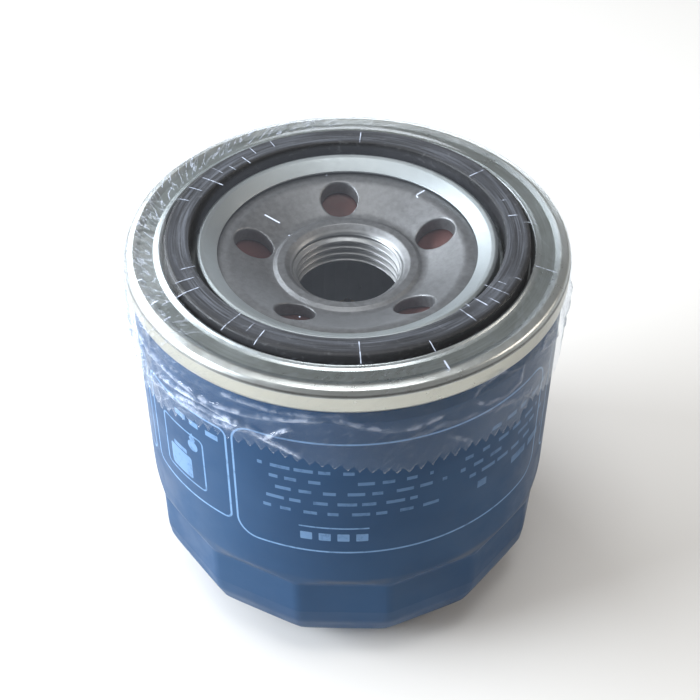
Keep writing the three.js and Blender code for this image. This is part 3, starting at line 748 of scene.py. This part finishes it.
    # closing column of the thread
    first = chain
    j = np.arange(mcount)[None, :]
    pr = np.array(chain, float)
    th2 = np.array([[(n - 1) * 2 * math.pi / n], [2 * math.pi]])
    rr, zz = thread(np.repeat(pr[None, :, 0], 2, 0), np.repeat(pr[None, :, 1], 2, 0), th2, j)
    col = np.stack([rr * np.sin(th2), -rr * np.cos(th2), zz], -1).reshape(-1, 3)
    V.append(col)
    for q in range(a0 - 1, a1):
        faces.append((base + q, base + mcount + q, base + mcount + q + 1, base + q + 1))
    v = np.concatenate(V)
    return make("dished_plate", v, faces, "can", "base_plate", sharp=70, merge=4e-3, mat=PLATE)


plate = plate_piece()

# ---------------------------------------------------------------- inner pieces
for node, mat in {
    "seam_sealing_compound": GLUE, "upper_adhesive_ring": GLUE, "lower_adhesive_ring": GLUE,
    "lower_end_cap": CAPSTEEL, "pleated_media": PAPER, "media_seam_clip": CAPSTEEL,
    "bypass_valve_seat": CAPSTEEL, "bypass_valve_seal": GASKET, "bypass_valve_poppet": CAPSTEEL,
    "bypass_spring_cage": CAPSTEEL, "center_tube": CAPSTEEL,
}.items():
    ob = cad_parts[node]
    ob.data.materials.clear()
    ob.data.materials.append(mat)

v, f = turn(fillet([(12.85, 60.4, 0.1), (12.85, 60.9, 0.1), (15.9, 60.9, 0.6), (17.0, 58.3, 0.6), (32.1, 58.3, 0.4),
                    (32.4, 58.0, 0.3), (32.4, 53.6, 0.1), (31.9, 53.6, 0.1), (31.9, 57.8, 0.3), (16.6, 57.8, 0.5),
                    (15.6, 60.4, 0.5)], steps=4), 128)
make("end_cap_top", v, f, "element", "upper_end_cap", sharp=50, mat=CAPSTEEL)


# ---------------------------------------------------------------- film
# Folds in the skirt: (degrees from -Y towards +X, height), then how far they stand out, their width and the strength of
# the painted glint along them
FOLDS = [
    ([(-59.5, 59.7), (-52.4, 60.5), (-45.3, 60.6), (-38.2, 61.0), (-30.6, 61.2), (-23.6, 62.1), (-18.5, 61.0), (-11.3, 58.8)], 0.45, 0.50, 0.8),
    ([(-66.0, 67.2), (-56.3, 66.2), (-50.2, 66.1), (-42.6, 65.6), (-34.5, 64.9), (-26.0, 65.6), (-15.8, 66.7), (-6.3, 67.8)], 0.50, 0.60, 0.5),
    ([(-52.0, 63.0), (-44.7, 63.7), (-36.2, 64.2), (-28.0, 63.2), (-22.0, 62.5), (-19.0, 61.9), (-13.7, 64.8)], 0.55, 0.45, 1.0),
    ([(-45.9, 61.5), (-40.0, 62.4), (-33.0, 62.2), (-26.0, 62.9)], 0.35, 0.40, 0.9),
    ([(-30.0, 68.4), (-20.0, 68.2), (-10.0, 68.5), (-2.0, 69.0)], 0.30, 0.50, 0.25),
    ([(-3.0, 67.9), (4.0, 66.3), (9.9, 64.9), (15.6, 64.5), (22.0, 65.7)], 0.26, 0.55, 0.4),
    ([(30.5, 66.8), (32.0, 69.0), (38.5, 70.1), (46.6, 67.9), (46.4, 64.7), (41.1, 63.7), (34.6, 64.6), (30.5, 66.8)], 0.24, 0.36, 0.38),
    ([(54.8, 67.9), (56.7, 69.8), (63.2, 68.6), (65.7, 64.9), (59.0, 66.3), (54.8, 67.9)], 0.24, 0.36, 0.38),
    ([(12.0, 61.9), (22.2, 63.6), (30.3, 63.4), (39.7, 62.0), (51.7, 59.7)], 0.18, 0.50, 0.2),
    ([(24.0, 61.0), (29.0, 58.6), (31.0, 56.4)], 0.30, 0.40, 0.35),
    ([(-77.0, 70.0), (-71.0, 65.0), (-74.0, 58.5)], 0.50, 0.60, 0.8),
    ([(-67.0, 69.0), (-62.5, 64.0), (-65.0, 58.0)], 0.45, 0.55, 0.8),
    ([(-88.0, 69.0), (-82.0, 63.0), (-84.0, 57.0)], 0.45, 0.60, 0.7),
]
for _ in range(26):
    _a, _z = RNG.uniform(70, 268), RNG.uniform(58, 69)
    _d, _k = RNG.uniform(5, 22), RNG.uniform(-3.2, 3.2)
    FOLDS.append(([(_a, _z), (_a + _d * 0.5, _z + _k * 0.5 + RNG.uniform(-0.8, 0.8)), (_a + _d, _z + _k)], RNG.uniform(0.15, 0.4), RNG.uniform(0.4, 0.7), RNG.uniform(0.1, 0.5)))


def fold_distance(deg, z, line):
    """Distance along the wall from points to a fold's path."""
    best = np.full(np.broadcast(deg, z).shape, 1e9)
    for (a0, z0), (a1, z1) in zip(line[:-1], line[1:]):
        du = (deg - a0 + 180) % 360 - 180
        pu, pz = du * 0.6963, z - z0
        qu, qz = (a1 - a0) * 0.6963, z1 - z0
        t = np.clip((pu * qu + pz * qz) / (qu * qu + qz * qz), 0, 1)
        best = np.minimum(best, np.hypot(pu - t * qu, pz - t * qz))
    return best


def film_piece():
    teeth, per = 120, 6
    n = teeth * per
    th = np.arange(n) * 2 * math.pi / n  # from -Y towards +X
    deg = (np.degrees(th) + 180) % 360 - 180
    az = np.degrees(np.arctan2(-np.cos(th), np.sin(th)))  # the same angle from +X
    # path of the film from its middle outwards: resting on gasket and seam
    path = [(0.0, 74.96), (10.0, 74.98), (20.0, 75.0), (26.0, 75.02), (28.6, 75.06), (32.2, 75.06), (33.6, 74.72),
            (38.2, 73.94), (39.2, 73.64), (39.80, 72.75), (39.88, 71.5), (39.88, 69.0), (39.86, 60.0), (39.84, 55.0)]
    path = fillet([(a, b, 1.0 if 27 < a < 39.8 else 0) for a, b in path], closed=False, steps=4)
    pr = np.array(path)
    seg = np.r_[0, np.cumsum(np.hypot(*np.diff(pr, axis=0).T))]
    total = seg[-1]
    s_mid = np.r_[np.linspace(26.5, 34, 12)[:-1], np.linspace(34, 42.5, 20)[:-1], np.linspace(42.5, total, 37)]
    R = np.interp(s_mid, seg, pr[:, 0])
    Z = np.interp(s_mid, seg, pr[:, 1])
    m = len(s_mid)
    skirt = smoothstep(71.8, 69.0, Z)
    # lower edge: pinked teeth on a line that wanders a little
    key = np.array([(-180, 56.6), (-120, 54.4), (-80, 54.0), (-56, 54.3), (-44, 56.9), (-35.5, 58.3), (-29, 58.9), (-19, 58.8), (-11, 57.7), (1.3, 56.3),
                    (14, 54.7), (24.5, 55.6), (32, 55.9), (39, 55.5), (47.5, 53.9), (51.6, 57.0), (61.7, 54.9), (100, 55.5), (140, 57.2), (180, 56.6)])
    edge = np.interp(deg, key[:, 0], key[:, 1])
    tooth = np.abs((np.arange(n) / per) % 1 - 0.5) * 2  # 0 at a tip, 1 at a root
    size = 1.6 + 0.4 * wave_noise(th / (2 * math.pi) * 30, 0.5, 30, 9)
    edge = edge + (0.5 - tooth) * size
    RR = np.repeat(R[None], n, 0)
    ZZ = np.repeat(Z[None], n, 0)
    below = np.clip((69.0 - ZZ) / (69.0 - 55.0), 0, 1)
    ZZ = np.where(ZZ < 69.0, 69.0 - below * (69.0 - edge[:, None]), ZZ)
    # wrinkles, always outwards on the skirt so that the film clears the seam as it lifts
    U = (th / (2 * math.pi))[:, None]
    S = s_mid[None]
    P = wave_noise(U * 20, S * 0.11, 20, 1) + 0.5 * wave_noise(U * 56, S * 0.2 + 5, 56, 2)
    ridge = np.clip(1 - np.abs(P) * 3.0, 0, 1) ** 2
    left = np.exp(-(((deg + 62) / 38) ** 2))[:, None]
    RR = RR + skirt[None] * ((0.10 + 0.18 * left) * ridge + 0.10 * np.clip(P + 0.3, 0, 1))
    for line, high, wide, _ in FOLDS:
        RR = RR + skirt[None] * high * 1.25 * np.exp(-np.abs(fold_distance(deg[:, None], ZZ, line) / wide) ** 1.5)
    rimzone = (smoothstep(33.5, 35.0, R) * smoothstep(67.0, 71.0, Z))[None]
    # slanting pleats where the film is gathered over the rim
    sl = S - 38.0
    fine = wave_noise(U * 96 + sl * 0.30, S * 0.12, 96, 3) + 0.6 * wave_noise(U * 180 - sl * 0.35, S * 0.2, 180, 4)
    lump = np.clip(1 - np.abs(fine) * 4.0, 0, 1)
    farleft = np.exp(-(((deg + 105) / 52) ** 2))[:, None]
    ZZ = ZZ + rimzone * lump * (0.02 + 0.035 * farleft)
    RR = RR + rimzone * lump * 0.03
    # creases over the gasket
    for a, r0, r1, w in CREASES:
        da = np.abs((az - a + 180) % 360 - 180)[:, None]
        ZZ = ZZ + 0.08 * np.clip(1 - da / (w * 1.6), 0, 1) * (smoothstep(r0 - 0.4, r0 + 0.6, R) * (1 - smoothstep(r1 - 0.8, r1, R)) * (Z > 73))[None]
    t = 0.05
    # both faces of the sheet
    dR, dZ = np.gradient(R), np.gradient(Z)
    ln = np.hypot(dR, dZ)
    nr, nz = -dZ / ln, dR / ln  # outward normal of the path
    verts, faces = [], []
    q = n // 4  # the flat middle needs a quarter of the columns
    rin = np.array([0.0, 5.0, 10.0, 14.0, 18.0, 21.0, 23.5, 25.2])
    zin = 75.0 - 0.12 * (1 - np.clip(rin / 26.0, 0, 1) ** 2)
    k_in = len(rin)
    base = 0
    start = []
    for k in (0.0, t):
        r_, z_ = RR + nr[None] * k, ZZ + nz[None] * k
        verts.append(np.stack([r_ * np.sin(th)[:, None], -r_ * np.cos(th)[:, None], z_], -1).reshape(-1, 3))
        tq = th[::4]
        verts.append(np.stack([rin[None] * np.sin(tq)[:, None], -rin[None] * np.cos(tq)[:, None], np.repeat((zin + k)[None], q, 0)], -1).reshape(-1, 3))
        start.append((base, base + n * m))
        base += n * m + q * k_in
    for side, (f0, c0) in enumerate(start):
        flip = (lambda f: f) if side == 0 else (lambda f: f[::-1])
        for i in range(n):
            a, b = f0 + i * m, f0 + ((i + 1) % n) * m
            for j in range(m - 1):
                faces.append(flip((a + j, b + j, b + j + 1, a + j + 1)))
        for i in range(q):
            a, b = c0 + i * k_in, c0 + ((i + 1) % q) * k_in
            for j in range(k_in - 1):
                faces.append(flip((a + j, b + j, b + j + 1, a + j + 1)))
            ci, cj = a + k_in - 1, b + k_in - 1
            f = [f0 + ((4 * i + g) % n) * m for g in range(5)]
            for tri in ((ci, f[1], f[0]), (ci, f[2], f[1]), (ci, cj, f[2]), (cj, f[3], f[2]), (cj, f[4], f[3])):
                faces.append(flip(tri))
    lo, hi = start[0][0], start[1][0]
    for i in range(n):
        a, b = i * m + m - 1, ((i + 1) % n) * m + m - 1
        faces.append((lo + a, lo + b, hi + b, hi + a))
    ob = make("clear_film", np.concatenate(verts), faces, "film", "shrink_film", sharp=0, merge=1e-4, mat=FILM)
    co_ = np.empty(len(ob.data.vertices) * 3)
    ob.data.vertices.foreach_get("co", co_)
    px, py, pz = (co_.reshape(-1, 3) / MM).T
    dg, rr = np.degrees(np.arctan2(px, -py)), np.hypot(px, py)
    # painted glints: white along each fold by its glint strength, kept to the skirt
    white = np.zeros(len(px))
    for line, _, wide, glint in FOLDS:
        white = np.maximum(white, glint * np.exp(-((fold_distance(dg, pz, line) / (wide * 0.75)) ** 2)))
    white *= (rr > 39.5) & (pz < 72)
    ob.data.attributes.new("painted_fold_glint", "FLOAT", "POINT").data.foreach_set("value", white)
    return ob


film = film_piece()


# ---------------------------------------------------------------- springs
def coil_piece(name, body, node, radius, wire, z0, z1, turns, start):
    """A wound wire with its end turns laid down."""
    n, m = int(turns * 72), 14
    t = np.linspace(0, 1, n)
    a = start + t * turns * 2 * math.pi
    lo, hi = z0 + wire, z1 - wire
    flat, rise = 0.75 / turns, (hi - lo) * 0.16
    u = np.clip((t - flat) / (1 - 2 * flat), 0, 1)
    end = np.where(t < flat, (t / flat - 1) * 0.5, np.where(t > 1 - flat, ((t - 1) / flat + 1) * 0.5, 0))
    z = lo + rise + (hi - lo - 2 * rise) * u + end * 2 * rise
    for _ in range(3):  # the pitch changes gently, not in a kink
        z[1:-1] = (z[:-2] + z[1:-1] + z[2:]) / 3
    path = np.stack([radius * np.cos(a), radius * np.sin(a), z], -1)
    tan = np.gradient(path, axis=0)
    tan /= np.linalg.norm(tan, axis=1)[:, None]
    out = np.stack([np.cos(a), np.sin(a), np.zeros(n)], -1)
    up = np.cross(tan, out)
    up /= np.linalg.norm(up, axis=1)[:, None]
    verts, rows = [], []
    # the cut ends are bevelled a little
    for i, scale, push in [(0, 0.82, 0.0)] + [(i, 1.0, 0.0) for i in range(1, n - 1)] + [(n - 1, 0.82, 0.0)]:
        ring = []
        for k in range(m):
            ph = 2 * math.pi * k / m
            ring.append(len(verts))
            verts.append(path[i] + tan[i] * push + wire * scale * (math.cos(ph) * out[i] + math.sin(ph) * up[i]))
        rows.append(ring)
    faces = [(rows[i][k], rows[i][(k + 1) % m], rows[i + 1][(k + 1) % m], rows[i + 1][k]) for i in range(n - 1) for k in range(m)]
    faces += [tuple(rows[0][::-1]), tuple(rows[-1])]
    ob = make(name, verts, faces, body, node, sharp=40, mat=SPRING)
    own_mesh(ob)
    return ob


coil_piece("seat_spring", "can", "support_spring", 16.5, 0.9, 0.85, 13.7, 3.6, 1.1)
coil_piece("valve_spring", "element", "bypass_valve_spring", 5.2, 0.42, 16.0, 25.2, 5.5, 0.4)


# ---------------------------------------------------------------- stage, light, camera
def stage():
    me = bpy.data.meshes.new("floor")
    bm = bmesh.new()
    bmesh.ops.create_grid(bm, x_segments=2, y_segments=2, size=3.0)
    bm.to_mesh(me)
    bm.free()
    ob = bpy.data.objects.new("floor", me)
    bpy.context.scene.collection.objects.link(ob)
    m, nt, b = material("floor_white", (0.72, 0.72, 0.72), 0.7)
    me.materials.append(m)


def lamp(name, loc, size, power, color=(1, 1, 1), target=(0, 0, 0.05)):
    d = bpy.data.lights.new(name, "AREA")
    d.spread = math.radians(95)
    d.shape, d.size, d.size_y, d.energy, d.color = "RECTANGLE", size[0], size[1], power, color
    o = bpy.data.objects.new(name, d)
    o.location = loc
    o.visible_camera = False
    o.rotation_euler = (Vector(target) - Vector(loc)).to_track_quat("-Z", "Y").to_euler()
    bpy.context.scene.collection.objects.link(o)
    return o


stage()
lamp("key_left", (-0.60, -0.08, 0.26), (0.44, 0.36), 3.0, (0.93, 0.97, 1.0))
lamp("window_back_left", (-0.52, 0.44, 0.46), (0.62, 0.44), 1.35, (0.95, 0.98, 1.0))
lamp("overhead", (0.0, -0.06, 0.80), (0.46, 0.26), 0.62, (1.0, 0.99, 0.96))
lamp("back_card", (0.12, 0.80, 0.20), (0.7, 0.10), 0.3, (0.92, 0.96, 1.0))
lamp("right_fill", (0.6, 0.0, 0.35), (0.3, 0.3), 0.3, (1.0, 0.88, 0.74))

world = bpy.data.worlds.new("studio")
bpy.context.scene.world = world
world.use_nodes = True
bg = world.node_tree.nodes["Background"]
bg.inputs[0].default_value = (1.0, 0.96, 0.91, 1)
bg.inputs[1].default_value = 0.30

cam = bpy.data.cameras.new("camera")
cam.lens, cam.sensor_width, cam.shift_x = 69.14, 36.0, 0.00357
cam.clip_start = 0.01
co = bpy.data.objects.new("camera", cam)
co.location = (0.0, -0.18996, 0.22088)
co.rotation_euler = (math.pi / 2 - 0.7433, 0, 0)
bpy.context.scene.collection.objects.link(co)
bpy.context.scene.camera = co
bpy.context.scene.view_settings.view_transform = "Standard"
